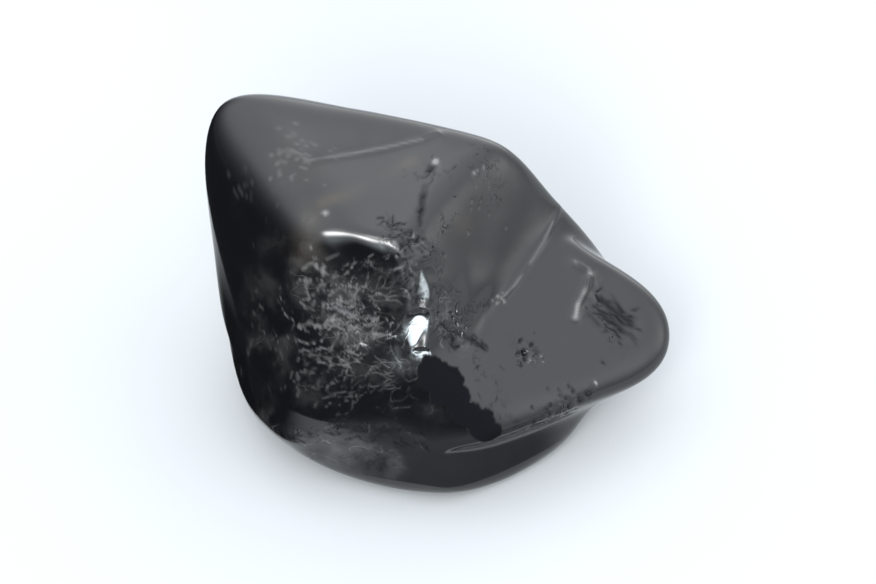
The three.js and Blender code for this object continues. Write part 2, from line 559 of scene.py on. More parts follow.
@dataclass
class Stone:
    """The stone: its sizes in mm and degrees, its mesh and what the finish reads from it."""

    heart_height: float = 8.2
    base_edge: float = 0.5  # height over which the edge of the resting flat is rolled
    join_crispness: float = 15.0  # of block and nose
    cuts: int = 128  # squares along each edge of the grid's cube
    block: FacetBody = FacetBody(
        facets=(
            (-58, 79, 6.6),  # top
            (-141, 17, 8.2),  # left front
            (-138, 45, 8.95),  # bevel over the left front
            (-37, 32, 3.3),  # right
            (-60, 22, 3.75),  # corner between front and right
            (183, -7, 14.05),  # left
            (-175, -11, 11.85),  # left, low
            (76, 46, 10.1),  # back rim
            (91, 48, 12.75),
            (33, 30, 8.9),
            (77, 2, 7.2),  # back
            (128, -12, 11.65),
            (-133, -42, 10.8),  # belly
            (-93, -47, 10.25),
            (-46, -30, 9.75),
            (82, -40, 10),
            (-2, -10, 9.05),  # right end
            (0, -90, 9.0),  # resting side
        ),
        crispness=13.0,
    )
    nose: FacetBody = FacetBody(
        facets=(
            (-49, 52, 2.65),  # apron
            (-1, 6, 15),  # tip
            (21, 25, 12.65),
            (52, 43, 6.25),
            (-18, -9, 15.2),
            (-58, -43, 11.2),
            (-64, -34, 8.1),  # belly
            (-96, -42, 8.75),
            (76, 7, 7.05),  # back
            (51, -47, 9.35),
            (184, -3, 3.05),  # inner end
            (128, -38, 6.6),
            (0, -90, 9.0),  # resting side
        ),
        crispness=8.0,
    )
    front: FacetBody = FacetBody(
        facets=(
            (-98, 25, 4.65),
            (-105, -2, 7.3),  # upright band under it
        ),
        crispness=30.0,
    )
    relief: tuple[Crest | Ledge | Wave, ...] = (
        Crest(((-120, 4),), 14, 0.12),  # lump low on the front face
        Crest(((-112, 72),), 6, 0.2),  # knob at the front crest's end
        Crest(((-106, 54),), 6, 0.16),  # upper lump of the corner
        Crest(((-102, 18),), 9, 0.26),  # lower lump of the corner
        Crest(((-164, 50),), 6, -0.12),  # dips of the front crest
        Crest(((-143, 62),), 5, -0.1),
        Crest(((132, 47),), 13, -0.25),  # scoop behind the top crest
        Crest(((-175, 63),), 14, -0.12),  # sag of the top face
        Crest(((34, 50),), 16, 0.14),  # swell of the right face
        Crest(((4, -5),), 4.5, -0.25),  # recess of the nose
        Crest(((-27, -5),), 7, -0.1),  # pitted hollow of the apron
        Crest(((-165, 8),), 15, -0.25),  # dent of the left face
        Crest(((100, 14),), 15, -0.6),  # broken hollow of the back
        Crest(((150, 2),), 14, -0.45),  # dent of the back left
        Crest(((50, -12),), 15, 0.3),  # swell of the back right
        Crest(((-4, -36),), 12, -0.3),  # hollow of the nose's underside
        Crest(((152, -44),), 9, -0.4),  # chip beside the resting face
        Crest(((-168, 47), (-161, 54), (-151, 59), (-138, 63), (-122, 66)), 4.5, 0.12),  # front
        Crest(TOP_CREST, 3, 0.06),
        Crest(((25, 8), (17, 4), (12, 1), (5, -2), (-2, -5)), 3.5, 0.1),  # nose
        Crest(((74, 30), (86, 20), (100, 2), (108, -16)), 6, 0.22),  # back
        Ledge(((-150, -30), (-135, -30), (-118, -33), (-98, -34)), 0.2),  # belly
        Ledge(((-148, 36), (-139, 22), (-127, 15), (-116, 17)), 0.06),  # in the front's broken ground
        Ledge(((-50, -24), (-36, -23), (-22, -22)), 0.12),  # apron's foot
        Ledge(((88, 6), (100, -2), (114, -3), (128, 4)), 0.28),  # back
        Ledge(((168, -12), (-178, -16), (-164, -14)), 0.16),  # left
        Wave((0.8, 0.5, 0.3), 5.1, 0.4, 0.07),
        Wave((-0.4, 0.9, 0.2), 6.7, 2.1, 0.05),
        Wave((0.2, -0.4, 0.9), 7.9, 4.0, 0.045),
        Wave((0.6, 0.1, -0.8), 10.3, 1.3, 0.03),
    )
    broken: tuple[Patch, ...] = (
        Patch(((-158, 26), (-147, 20), (-134, 14), (-124, 10)), 1.3, 0.35),  # front
        Patch(((-88, 52), (-80, 38), (-74, 22), (-70, 6)), 0.5, 0.8),  # corner
        Patch(((-132, 68), (-122, 62), (-114, 52), (-109, 44)), 0.36),  # left of the upright ridge
        Patch(((-150, 66), (-120, 72), (-98, 68)), 0.6, 0.5),  # above the front crest
        Patch(((-86, 0), (-80, -6), (-73, -14), (-66, -23)), 0.45, 0.5),  # between front and apron
        Patch(((-44, -24), (-34, -22), (-26, -21)), 0.5, 0.8),  # apron's chipped foot
        Patch(BELLY_EDGE, 0.35, 0.4),
        Patch(((96, 20), (104, 8), (112, -6)), 1.9),  # back
        Patch(((150, -36), (160, -42)), 1.3, 0.8),  # chip beside the base
    )
    # pale fractures under the polish, partly painted glints of their edges
    web: tuple[Patch, ...] = (
        Patch(((-164, 30), (-152, 26), (-142, 18)), 1.5),
        Patch(((-138, 24), (-122, 16)), 0.7, 0.3),
        Patch(((-176, 44), (-168, 36), (-160, 30)), 0.7, 0.5),
        Patch(((-178, 26), (-168, 4), (-150, -8)), 2.4, 0.42),
        # belly: pale mottling and a painted reflection of the floor
        Patch(((-154, -27), (-139, -31), (-126, -34), (-114, -38)), 1.1, 1.9),
        Patch(((-146, 40), (-130, 38), (-118, 34)), 1.0, 0.6),
        Patch(((-152, 2), (-134, 0), (-112, -2)), 1.2, 0.4),
        Patch(((-150, 50), (-136, 53), (-122, 50)), 0.8, 0.45),
        Patch(((-104, 2), (-98, -8)), 0.8, 0.15),
        Patch(((-112, -10), (-96, -16)), 1.2, 0.4),
        Patch(((100, 24), (106, 6)), 2.2, 0.8),
    )
    chipped: tuple[Patch, ...] = (
        Patch(((-96, 50), (-84, 36), (-74, 22), (-66, 8)), 0.6),  # corner
        Patch(((-152, 66), (-128, 71), (-104, 70), (60, 74)), 0.45, 0.8),  # above the front crest
        Patch(((-30, -8),), 0.7, 0.9),  # pitted spot of the apron
        Patch(((-64, -2), (-62, -12), (-58, -20)), 0.6, 0.6),  # beside the front's edge
        Patch(((4, -4), (0, -8), (-4, -12)), 0.5),  # recess of the nose: painted shade
        Patch(((-44, -24), (-34, -22), (-24, -21)), 0.5, 0.9),  # apron's foot
        Patch(BELLY_EDGE, 0.5, 0.9),
        Patch(((60, 55), (46, 52)), 1.0, 0.5),  # right of the top
        Patch(((-140, -32), (-110, -36)), 0.8, 0.5),  # belly
        Patch(((96, 20), (112, -6)), 2.0, 0.7),  # back
    )
    flats: tuple[Flat, ...] = (
        Flat(((-122, 71), (-112, 65)), 0.4, -76, 48, 0.08),  # corner where the crest meets it
        Flat(((-104, 62), (-102, 52)), 0.55, -87, 29.5, 0.13, 0.0),  # upright ridge
        Flat(((-105, 45), (-104, 42)), 0.2, -87.5, 28.5, 0.03),
        Flat(((-104, 33), (-108, 21)), 0.56, -87.5, 29.5, 0.12),
        Flat(((-104, 11), (-98, 12)), 0.25, -87.5, 29.5, 0.06),
    )
    misty: tuple[Patch, ...] = (
        Patch(((-130, 68), (-122, 62), (-113, 52), (-109, 44)), 0.5, 2.2),  # about the upright ridge
        Patch(((-106, 56), (-104, 40)), 0.6, 0.8),
        Patch(((-103, 30), (-104, 16)), 0.9),
    )
    ridges: tuple[Ridge, ...] = (
        Ridge(((17.2, 7.1), (14.4, 3), (6.1, -0.4), (-2.6, -4.3)), 0.24, 0.12),  # nose
        Ridge(((11, -1), (7, -5), (2, -9.5)), 0.7, -0.2),  # its recess
        Ridge(((38, 16), (33, 17.5), (23.5, 18.7), (7.7, 19.9), (-16.6, 20.6)), 0.17, 0.05),  # apron's top
        Ridge(TOP_CREST, 0.2, 0.08),
    )
    cracks: tuple[Crack, ...] = (
        Crack(((94, 66), (109, 75), (150, 82), (-137, 79), (-128, 74)), 0.14, 0.16, 0.12, dark=0.9),
        Crack(((-150, 68), (-138, 70), (-128, 66), (-118, 70)), 0.1, 0.1, 0.3, dark=0.8),
        Crack(((-134, 74), (-122, 70), (-112, 73)), 0.1, 0.1, 0.3, dark=0.8),
        Crack(((-126, 64), (-118, 67), (-104, 66)), 0.1, 0.12, 0.2, dark=0.6),
        Crack(((-96, 40), (-80, 26), (-68, 17), (-55, 5)), 0.12, 0.05, 0.25, dark=0.8),
        Crack(((-86, 50), (-76, 34), (-72, 18)), 0.1, 0.1, 0.3, dark=0.7),
        Crack(((-72, 46), (-62, 30), (-60, 18)), 0.1, 0.08, 0.3, dark=0.5),
        Crack(((7.5, -3), (4.5, -7.5), (2, -11)), 0.2, 0.05, 0.05, dark=0.8),  # nose's recess: its dark is painted shade
        Crack(((3.5, -4.8), (1.5, -8), (-0.5, -11)), 0.17, 0.05, 0.05, dark=0.75),
        Crack(((1, -5), (-1.5, -8)), 0.14, 0.04, 0.05, dark=0.5),
        # dust along the crests of the nose, the top and the apron's top, which also paints their highlight
        # lines
        Crack(((14.4, 3), (10, 1.2), (6.1, -0.4), (1.5, -2.5), (-2.6, -4.3)), 0.1, 0.02, 0.03, dust=1.1),
        Crack(TOP_CREST[:-1], 0.1, 0.01, 0.04, dust=0.3),
        Crack(((33, 17.5), (23.5, 18.7), (7.7, 19.9), (-12, 20.5)), 0.08, 0.01, 0.03, dust=0.3),
        Crack(((-50, 36), (-40, 32), (-30, 28)), 0.12, 0.03, 0.3, dark=0.5),  # left of the apron's top
        Crack(((-46, 28), (-36, 24)), 0.1, 0.03, 0.3, dark=0.5),
        Crack(((88, 34), (98, 20), (96, 4), (108, -10)), 0.22, 0.14, 0.5, dust=0.5),
        Crack(((140, 30), (128, 12), (134, -8)), 0.18, 0.1, 0.5, dust=0.4),
        Crack(((60, 10), (48, -4), (40, -22)), 0.14, 0.08, 0.5, dust=0.4),
        Crack(((-176, 8), (-170, -6), (-172, -20)), 0.12, 0.06, 0.4, dust=0.2),
    )
    pits: tuple[Pits, ...] = (
        Pits((-30, -8), 0.45, 34, 0.28, 0.08, 5, dark=1.0),  # apron
        Pits((-31, -10), 0.35, 8, 0.2, 0.04, 25, dust=1.0),
        Pits((-124, 70), 0.7, 18, 0.22, 0.07, 6, dark=0.8),  # above the front crest
        Pits((50, 56), 1.1, 12, 0.14, 0.03, 7, dust=0.15),  # right of the top
        Pits((-36, -22), 0.8, 30, 0.26, 0.08, 8, dark=0.9),  # apron's foot
        Pits((157, 45), 0.9, 46, 0.16, 0.008, 9, dust=0.22),  # left on the top face
        Pits((104, 6), 1.8, 60, 0.35, 0.09, 10, dust=0.6),  # back
        Pits((166, 31), 0.6, 12, 0.13, 0.02, 11, dust=0.12),  # left
        Pits((20, -30), 1.6, 30, 0.3, 0.07, 12, dust=0.4),  # under the nose
        Pits((-179, 50), 0.01, 1, 0.42, 0.05, 13, dust=2.4),  # painted highlights as bright specks, this and the next two
        Pits((92.5, 64), 0.01, 1, 0.4, 0.05, 14, dust=2.0),
        Pits((-19, -18), 0.01, 1, 0.3, 0.04, 15, dust=2.0),
        Pits((-12.6, -15), 0.01, 1, 0.3, 0.06, 16, dark=1.0),
        Pits((59, 57), 0.2, 3, 0.25, 0.05, 17, dust=0.8),
        # dust at the nose's crest, which also paints its highlights
        Pits((-2.6, -4.3), 0.03, 2, 0.36, 0.03, 18, dust=1.2),
        Pits((14, 2.5), 0.05, 2, 0.3, 0.03, 19, dust=1.0),
        Pits((17.2, 7.1), 0.05, 2, 0.26, 0.02, 20, dust=0.5),
        Pits((-15, 20.6), 0.16, 8, 0.28, 0.03, 21, dust=0.7),  # foot of the apron's top crest
    )
    strokes: tuple[Strokes, ...] = (
        Strokes(
            ((-162, 36), (-150, 30), (-138, 28), (-124, 24)), 0.6, 66, 2.8, 0.036, (1, 0, 0.2), 31, pale=1.0
        ),
        Strokes(((-160, 20), (-146, 15), (-134, 10)), 0.7, 42, 2.6, 0.036, (1, 0, -0.3), 32, pale=0.9),
        Strokes(((-154, 36), (-148, 16)), 0.9, 36, 1.8, 0.034, (0.3, 0, 1), 33, pale=0.8),
        Strokes(((-150, 4), (-134, 4), (-114, 2)), 0.25, 26, 2.8, 0.036, (1, 0, 0.1), 34, pale=0.8),
        Strokes(((-152, -10), (-132, -12), (-104, -12)), 0.9, 30, 2.0, 0.032, (0.5, 0, 0.6), 35, pale=0.4),
        Strokes(((-172, 30), (-168, 10), (-165, -8)), 1.3, 50, 0.35, 0.04, (0.2, 0, 1), 36, pale=0.3),
        Strokes(((-96, 46), (-84, 34), (-78, 18)), 0.4, 40, 1.2, 0.045, (0.4, 0, 1), 37, pale=0.45),
        Strokes(((-88, 56), (-76, 38), (-66, 16)), 0.6, 44, 1.1, 0.05, (0.5, 0, 1), 38, dark=0.55),
        Strokes(((-172, 68), (-155, 71), (-138, 73)), 0.3, 30, 1.0, 0.055, (1, 0, -0.5), 39, dark=0.85),
        Strokes(((-152, 50), (-138, 53), (-124, 51)), 0.5, 20, 2.0, 0.04, (1, 0, 0.3), 50, pale=0.5),
        Strokes(((-148, -4), (-128, -8), (-104, -10)), 0.7, 40, 1.4, 0.04, (0.7, 0, 0.5), 51, pale=0.35),
        Strokes(((-50, 36), (-38, 30), (-28, 26)), 0.25, 14, 0.7, 0.07, (0.3, 0, 1), 52, dark=0.5),
        Strokes(((-69, 18), (-61, 10), (-55, 4)), 0.12, 16, 0.8, 0.1, (1, 0, -0.7), 46, dark=0.9),
        Strokes(((-79, 20), (-79, 14)), 0.2, 16, 0.8, 0.11, (0.2, 0, 1), 47, dark=0.9),
        Strokes(
            ((-140, 70), (-123, 62), (-114, 52), (-109, 44)), 0.28, 56, 1.0, 0.1, (1, 0, 0.5), 48, dark=0.9
        ),
        Strokes(((-136, 70), (-122, 62), (-113, 52)), 0.3, 18, 1.3, 0.06, (1, 0, 0.35), 49, pale=0.9),
        Strokes(((90, 66), (100, 72)), 0.5, 14, 1.0, 0.05, (0.2, -1, 0), 40, dark=0.6),
        Strokes(((-62, -2), (-62, -12), (-58, -20)), 0.5, 18, 0.6, 0.05, (1, 0, 0.3), 41, dark=0.6),
        # dark streaks in the nose's recess: painted shade
        Strokes(((6, -4.5), (3, -7.5), (0, -10)), 0.3, 30, 2.2, 0.07, (0.74, -0.34, -0.58), 42, dark=0.9),
        Strokes(
            ((-152, -26), (-134, -24), (-112, -26), (-98, -30)),
            0.25, 36, 1.2, 0.06, (1, 0, 0), 43, dark=0.8,
        ),
        Strokes(((-140, -34), (-112, -38)), 0.5, 24, 1.0, 0.05, (1, 0, 0), 44, dark=0.5),
        Strokes(((100, 24), (106, 6)), 1.6, 70, 1.6, 0.06, (0.2, 0, 1), 45, pale=0.7),
    )
    # matt black patches between front and apron: painted shade
    lobes: tuple[Patch, ...] = (
        Patch(((-93, 0), (-86, -3)), 1.15),  # between front and apron: painted shade
        Patch(((-86, -9), (-80, -11)), 0.95),
        Patch(((-79, -15), (-71, -17)), 0.95),
        Patch(((-70, -20), (-68, -21)), 0.85),
    )
    # brownish tint through the polish, and the painted yellowish reflection below the top crest
    warm: tuple[Patch, ...] = (
        Patch(((176, 50), (168, 57), (140, 64), (112, 64)), 0.4, 0.7),  # painted yellowish reflection: band below the top crest
        Patch(((34, 74),), 0.7, 0.4),
        Patch(((157, 45),), 1.2, 0.6),
        Patch(((-178, 46), (-168, 38)), 0.8, 0.4),
        Patch(((120, 20), (112, 0)), 1.6, 0.5),
    )
    lean: Triple = (0.3, -0.25, 0.1)  # draws the grid's points to the front right
    marks: dict[Mark, Array] = field(default_factory=dict)

    def smooth_radius(self, toward: Array) -> Array:
        """Radius of the tumbled form, in mm.

        Args:
            toward: unit vectors, one row each.

        Returns:
            The block's and the nose's radii joined by their power join_crispness, cut by the front's
            to minus its own, plus the heights of the relief.
        """
        power = self.join_crispness
        joined = (self.block.radius(toward) ** power + self.nose.radius(toward) ** power) ** (1.0 / power)
        sharp = self.front.crispness
        cut = (joined**-sharp + self.front.radius(toward) ** -sharp) ** (-1.0 / sharp)
        return cut + np.sum([item.height(toward) for item in self.relief], axis=0)

    def trail(self, path: Path) -> Array:
        """Points on the tumbled form along a path.

        Args:
            path: azimuth and elevation of each place, in degrees.

        Returns:
            Points in mm from the heart, about TRAIL_STEP degrees apart on great circles.
        """
        corners = np.stack([direction(*place) for place in path])
        pieces = [corners[:1]]
        for start, end in zip(corners[:-1], corners[1:]):
            count = max(1, round(float(np.degrees(np.linalg.norm(end - start))) / TRAIL_STEP))
            share = np.linspace(0.0, 1.0, count + 1)[1:, None]
            pieces.append(start + share * (end - start))
        toward = normalised(np.concatenate(pieces))
        return toward * self.smooth_radius(toward)[:, None]

    def gap(self, places: Array, path: Path, reach: float) -> Array:
        """Distance from places to a path on the tumbled form.

        Args:
            places: points in mm from the heart.
            path: azimuth and elevation of each of its places, in degrees.
            reach: mm beyond which the distance doesn't matter and is left endless.

        Returns:
            Distance in mm to the nearest stretch of the path.
        """
        line = self.trail(path)
        gap = np.full(len(places), np.inf)
        low, high = line.min(axis=0) - reach, line.max(axis=0) + reach
        near = np.flatnonzero(np.all((places > low) & (places < high), axis=1))
        spots = places[near]
        nearest = lengths(spots - line[0])
        for start, end in zip(line[:-1], line[1:]):
            nearest = np.minimum(nearest, stretch_offset(spots, start, end)[0])
        gap[near] = nearest
        return gap

    def near(self, places: Array, item: Patch | Ridge | Crack, widths: float) -> Array:
        """Bell of the distance from an item's path, let go at a number of its widths."""
        return bell(self.gap(places, item.path, widths * item.wide), item.wide)

    def cover(self, places: Array, patches: tuple[Patch, ...]) -> Array:
        """How far places lie in patches: the strongest of their strengths, each times its bell."""
        return np.max([each.strength * self.near(places, each, PATCH_REACH) for each in patches], axis=0)

    def worn_flat(self, places: Array) -> tuple[Array, Array]:
        """The surface with its small flats worn on it.

        Args:
            places: points in mm from the heart.

        Returns:
            The points moved back along each flat's normal by how far they stand above its plane: half
            the height plus half the root of its square and FLAT_EDGE's, near its path only. Also,
            from 0 to 1, how polished by a flat each is.
        """
        worn = places.copy()
        flattened = np.zeros(len(places))
        for flat in self.flats:
            normal = direction(flat.azimuth, flat.elevation)
            level = np.mean(self.trail(flat.path) @ normal) - flat.depth
            above = places @ normal - level
            gap = self.gap(places, flat.path, FLAT_REACH * flat.wide)
            near = ramp(gap, FLAT_END * flat.wide, FLAT_WHOLE * flat.wide)
            worn -= (0.5 * near * (above + np.hypot(above, FLAT_EDGE)))[:, None] * normal
            flattened = np.maximum(flattened, flat.polish * near * ramp(above, -FLAT_EDGE, FLAT_EDGE))
        return worn, flattened

    def lay_cracks(self, places: Array, ground: Ground) -> None:
        """Lays the cracks' grooves.

        Args:
            places: points in mm from the heart.
            ground: takes a bell of the distance from each path, after noise has pushed the places
                about, and let come and go by slower noise.
        """
        for number, crack in enumerate(self.cracks):
            noise = LatticeNoise(CRACK_SEED + CRACK_STEP * number)
            push = np.sum([share * noise.drift(places, size) for size, share in CRACK_BENDS], axis=0)
            groove = self.near(places + crack.wander * push, crack, RIDGE_REACH)
            groove *= ramp(noise.value(places, CRACK_BREAK), CRACK_ENDED, CRACK_WHOLE)
            ground.height -= crack.depth * groove
            ground.tint(slice(None), crack, groove)

    def lay_pits(self, places: Array, ground: Ground) -> None:
        """Lays the pits.

        Args:
            places: points in mm from the heart.
            ground: takes a bell of the distance from each pit's middle, with a ragged edge. The
                middles are drawn with a seeded normal spread.
        """
        seed, rough, share = PIT_EDGE
        ragged = 1.0 + share * LatticeNoise(seed).value(places, rough)
        for scatter in self.pits:
            draw = np.random.default_rng(scatter.seed)
            middle = self.trail((scatter.at,))[0]
            reach = PIT_SPREADS * scatter.spread + PIT_WIDTHS * scatter.wide
            near = np.flatnonzero(lengths(places - middle) < reach)
            centres = middle + scatter.spread * draw.normal(size=(scatter.count, 3))
            sizes = scatter.wide * draw.uniform(*PIT_SIZES, scatter.count)
            shades = draw.uniform(*PIT_SHADES, scatter.count)
            for centre, size, shade in zip(centres, sizes, shades):
                at = places[near[np.argmin(lengths(places[near] - centre))]]
                hole = bell(lengths(places[near] - at) * ragged[near], size / 2)
                ground.height[near] -= scatter.depth * size / scatter.wide * hole
                ground.tint(near, scatter, shade * hole)

    def lay_strokes(self, places: Array, ground: Ground) -> None:
        """Lays thin curved strokes under the polish.

        Args:
            places: points in mm from the heart.
            ground: takes the cover of each stroke, after noise has pushed the places about. It is a
                seeded length along its direction, bent sideways by the square of the way along.
        """
        pushed = frayed(places, *STROKE_PUSH)
        share = np.linspace(-0.5, 0.5, STROKE_POINTS)[:, None]
        for scatter in self.strokes:
            draw = np.random.default_rng(scatter.seed)
            line = self.trail(scatter.path)
            for _ in range(scatter.count):
                middle = line[draw.integers(len(line))] + scatter.spread * draw.normal(size=3)
                ahead = normalised(normalised(np.array(scatter.along)) + STROKE_WILD * draw.normal(size=3))
                sideways = normalised(np.cross(ahead, draw.normal(size=3)))
                length = scatter.longest * draw.uniform(*STROKE_LENGTHS)
                curve = middle + length * (share * ahead + STROKE_BEND * share**2 * sideways)
                strength = draw.uniform(*STROKE_SHADES)
                near = np.flatnonzero(lengths(places - middle) < length + STROKE_MARGIN)
                if len(near):
                    cover = stroke_cover(pushed[near], curve, scatter.wide)
                    ground.tint(near, scatter, strength * cover)

    def broken_relief(self, places: Array, broken: Array) -> Array:
        """Chips and torn ridges of the broken ground.

        Args:
            places: points in mm from the heart.
            broken: how broken each is, from 0 to 1.

        Returns:
            Height in mm: small tilted chips, each the slope of its nearest seeded place, and crests
            where noise crosses zero, both times the cover.
        """
        pushed = frayed(places, *CHIP_PUSH)
        cell = np.floor(pushed / CHIP_SIZE)
        numbered = cell.astype(np.int64) + CHIP_START
        tilt = np.stack([LatticeNoise(seed).corners(numbered) for seed in CHIP_SEEDS], -1)
        within = pushed / CHIP_SIZE - cell - 0.5
        chips = CHIP_RISE * np.sum(tilt * within, axis=-1)
        crests = LatticeNoise(CHIP_PUSH[0]).cloud(pushed, TORN_SIZE, crested=True)
        return broken * (chips + TORN_RISE * (crests**TORN_POWER - 0.5))

    def surface(self) -> tuple[Array, Array]:
        """The stone's points in metres in the row frame, and its squares.

        Returns:
            Points and squares. The tumbled form is moved along its own normals by ridges, cracks,
            pits, broken ground and a faint unevenness of the polish. Height above the resting face
            is then rolled flat by its own square within base_edge of it, and the box is centred on
            the solid's.
        """
        toward, squares = cube_grid(self.cuts)
        toward = normalised(toward + np.array(self.lean))
        places, flattened = self.worn_flat(toward * self.smooth_radius(toward)[:, None])
        broken = self.cover(places, self.broken) * (BROKEN_LEVEL + grain(places, *BROKEN_NOISE))
        broken = np.clip(broken, 0.0, 1.0)
        ground = Ground(*np.zeros((4, len(places))))
        self.lay_strokes(places, ground)
        ground.height = self.ridge_relief(places) - STROKE_DEPTH * ground.dark
        self.lay_cracks(places, ground)
        self.lay_pits(places, ground)
        ground.height += self.broken_relief(places, broken) + grain(places, *POLISH_NOISE)
        lobes = ramp(self.cover(places, self.lobes) + grain(places, *LOBE_NOISE), *LOBE_EDGE)
        self.marks = {
            Mark.BROKEN: broken,
            Mark.WEB: self.cover(places, self.web),
            Mark.CHIPPED: self.cover(places, self.chipped),
            Mark.DUST: ground.dust,
            Mark.VEIN: ground.pale,
            Mark.DARK: np.maximum(ground.dark, lobes),
            Mark.WARM: self.cover(places, self.warm),
            Mark.MISTY: self.cover(places, self.misty) * (1.0 - flattened),
        }
        places = places + outward(places, squares) * ground.height[:, None]
        tall = places[:, 2] + self.heart_height
        edge = self.base_edge
        rolled = (tall + edge) ** 2 / (4 * edge)
        places[:, 2] = np.where(tall <= -edge, 0.0, np.where(tall >= edge, tall, rolled))
        lowest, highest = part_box(NODE)
        middle = np.array((lowest + highest) / 2) / MM
        shift = middle - (places.min(axis=0) + places.max(axis=0)) / 2
        places[:, :2] += shift[:2]
        return places * MM, squares

    def ridge_relief(self, places: Array) -> Array:
        """Height in mm of the low ridges and scoops: each rise times its bell, added."""
        return np.sum([each.rise * self.near(places, each, RIDGE_REACH) for each in self.ridges], axis=0)

    def build(self) -> bpy.types.Object:
        """Makes the stone, with its marks stored at its points, and rides it on the body.

        Returns:
            The object, which stands for the solid of the same place and size.
        """
        points, squares = self.surface()
        marks = {mark.value: values for mark, values in self.marks.items()}
        stone = made_object("polished_stone", points, squares, marks)
        stone.data.shade_smooth()
        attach(stone, BODY)
        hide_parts(NODE)
        return stone

    def dress(self, stone: bpy.types.Object, finish: "PolishedTourmaline") -> None:
        """Gives the stone its finish."""
        stone.data.materials.append(finish.material())


# ---- shader expressions


class Signal:
    """A shader socket that Python's arithmetic works on, adding Math nodes."""

    def __init__(self, board: "Board", socket: bpy.types.NodeSocket) -> None:
        """Keeps the board that the socket's node stands on, and the socket."""
        self.board = board
        self.socket = socket

    def math(self, operation: str, *others: "Signal | float", clamp: bool = False) -> "Signal":
        """A Math node of this signal and others.

        Args:
            operation: Blender's name for the operation.
            others: its second and third values.
            clamp: whether the result is kept from 0 to 1.

        Returns:
            The node's result.
        """
        settings = {"operation": operation, "use_clamp": clamp}
        return self.board.node("ShaderNodeMath", settings, dict(enumerate((self, *others))))

    def __add__(self, other: "Signal | float") -> "Signal":
        """Sum."""
        return self.math("ADD", other)

    __radd__ = __add__

    def __mul__(self, other: "Signal | float") -> "Signal":
        """Product."""
        return self.math("MULTIPLY", other)

    __rmul__ = __mul__

    def __sub__(self, other: "Signal | float") -> "Signal":
        """Difference."""
        return self.math("SUBTRACT", other)

    def __rsub__(self, other: float) -> "Signal":
        """A number less this signal."""
        return self * -1.0 + other

    def between(self, low: float, high: float) -> "Signal":
        """Smooth step from 0 at low to 1 at high."""
        settings = {"interpolation_type": "SMOOTHSTEP"}
        return self.board.node("ShaderNodeMapRange", settings, {0: self, 1: low, 2: high, 3: 0.0, 4: 1.0})

    def off_middle(self) -> "Signal":
        """How far a noise from 0 to 1 is from its middle value."""
        return (self - 0.5).math("ABSOLUTE")

    def largest(self, other: "Signal | float") -> "Signal":
        """The larger of two signals."""
        return self.math("MAXIMUM", other)

    def clipped(self) -> "Signal":
        """Kept from 0 to 1."""
        return self.math("MULTIPLY", 1.0, clamp=True)


Value = Signal | float | tuple[float, ...]


class Blend(Enum):
    """How one colour goes with another."""

    MIX = "MIX"
    ADD = "ADD"


@dataclass(frozen=True)
class Grain:
    """Noise in a finish."""

    size: float  # mm across its features
    detail: float = 2.0  # octaves of finer noise on it
    window: Pair | None = None  # values where a smooth step from 0 to 1 starts, ends
    twist: float = 0.0

    def sockets(self) -> dict[str, float]:
        """Values of the noise node's inputs."""
        return {"Scale": 1.0 / (self.size * MM), "Detail": self.detail, "Distortion": self.twist}


class Board:
    """A node tree, on which nodes are made one call each."""

    def __init__(self, owner: bpy.types.Material | bpy.types.World) -> None:
        """Turns on a node tree and clears it.

        Args:
            owner: the material or world whose tree it is.
        """
        owner.use_nodes = True
        self.tree = owner.node_tree
        self.tree.nodes.clear()
        self.output = f"ShaderNodeOutput{type(owner).__name__}"

    def node(
        self,
        kind: str,
        settings: dict[str, object] | None = None,
        inputs: dict[int | str, Value] | None = None,
        output: int | str = 0,
    ) -> Signal:
        """Makes a node.

        Args:
            kind: Blender's name for the node's type.
            settings: its settings, set before its sockets, because they may change which it has.
            inputs: a value or a signal for each socket, by number or name.
            output: the socket handed back.

        Returns:
            That output as a signal.
        """
        made = self.tree.nodes.new(kind)
        for name, value in (settings or {}).items():
            setattr(made, name, value)
        for key, value in (inputs or {}).items():
            if isinstance(value, Signal):
                self.tree.links.new(value.socket, made.inputs[key])
            else:
                made.inputs[key].default_value = value
        return Signal(self, made.outputs[output] if made.outputs else made.inputs[0])

    def mark(self, name: str) -> Signal:
        """What the mesh stores under a name."""
        settings = {"attribute_type": "GEOMETRY", "attribute_name": name}
        return self.node("ShaderNodeAttribute", settings, output="Fac")

    def noise(self, place: Signal, grain: Grain) -> Signal:
        """A grain's noise from 0 to 1 at a point, stepped over its window if it has one."""
        made = self.node("ShaderNodeTexNoise", None, {"Vector": place, **grain.sockets()})
        return made.between(*grain.window) if grain.window else made

    def pushed(self, place: Signal, size: float, reach: float) -> Signal:
        """Pushes a point about with noise.

        Args:
            place: the point.
            size: mm across the noise's features.
            reach: mm that it is pushed at most, about.

        Returns:
            The point plus twice the reach times the noise's colour less its middle.
        """
        push = self.node("ShaderNodeTexNoise", None, {"Vector": place, **Grain(size).sockets()}, "Color")
        centred = self.node("ShaderNodeVectorMath", {"operation": "SUBTRACT"}, {0: push, 1: (0.5,) * 3})
        scaled = {0: centred, 1: (2.0 * (reach * MM),) * 3, 2: place}
        return self.node("ShaderNodeVectorMath", {"operation": "MULTIPLY_ADD"}, scaled)

    def blend(self, mask: Signal | float, low: Value, high: Value, how: Blend) -> Signal:
        """A colour that goes from low to high, or has high added, as mask goes from 0 to 1."""
        settings = {"data_type": "RGBA", "blend_type": how.value}
        return self.node("ShaderNodeMix", settings, {0: mask, 6: low, 7: high}, output=2)

    def mixed(self, mask: Signal, low: Signal, high: Signal) -> Signal:
        """A shader that goes from low to high as mask goes from 0 to 1."""
        return self.node("ShaderNodeMixShader", None, {0: mask, 1: low, 2: high})

    def finish(self, surface: Signal) -> None:
        """Hands a shader to the output node."""
        self.node(self.output, None, {"Surface": surface})


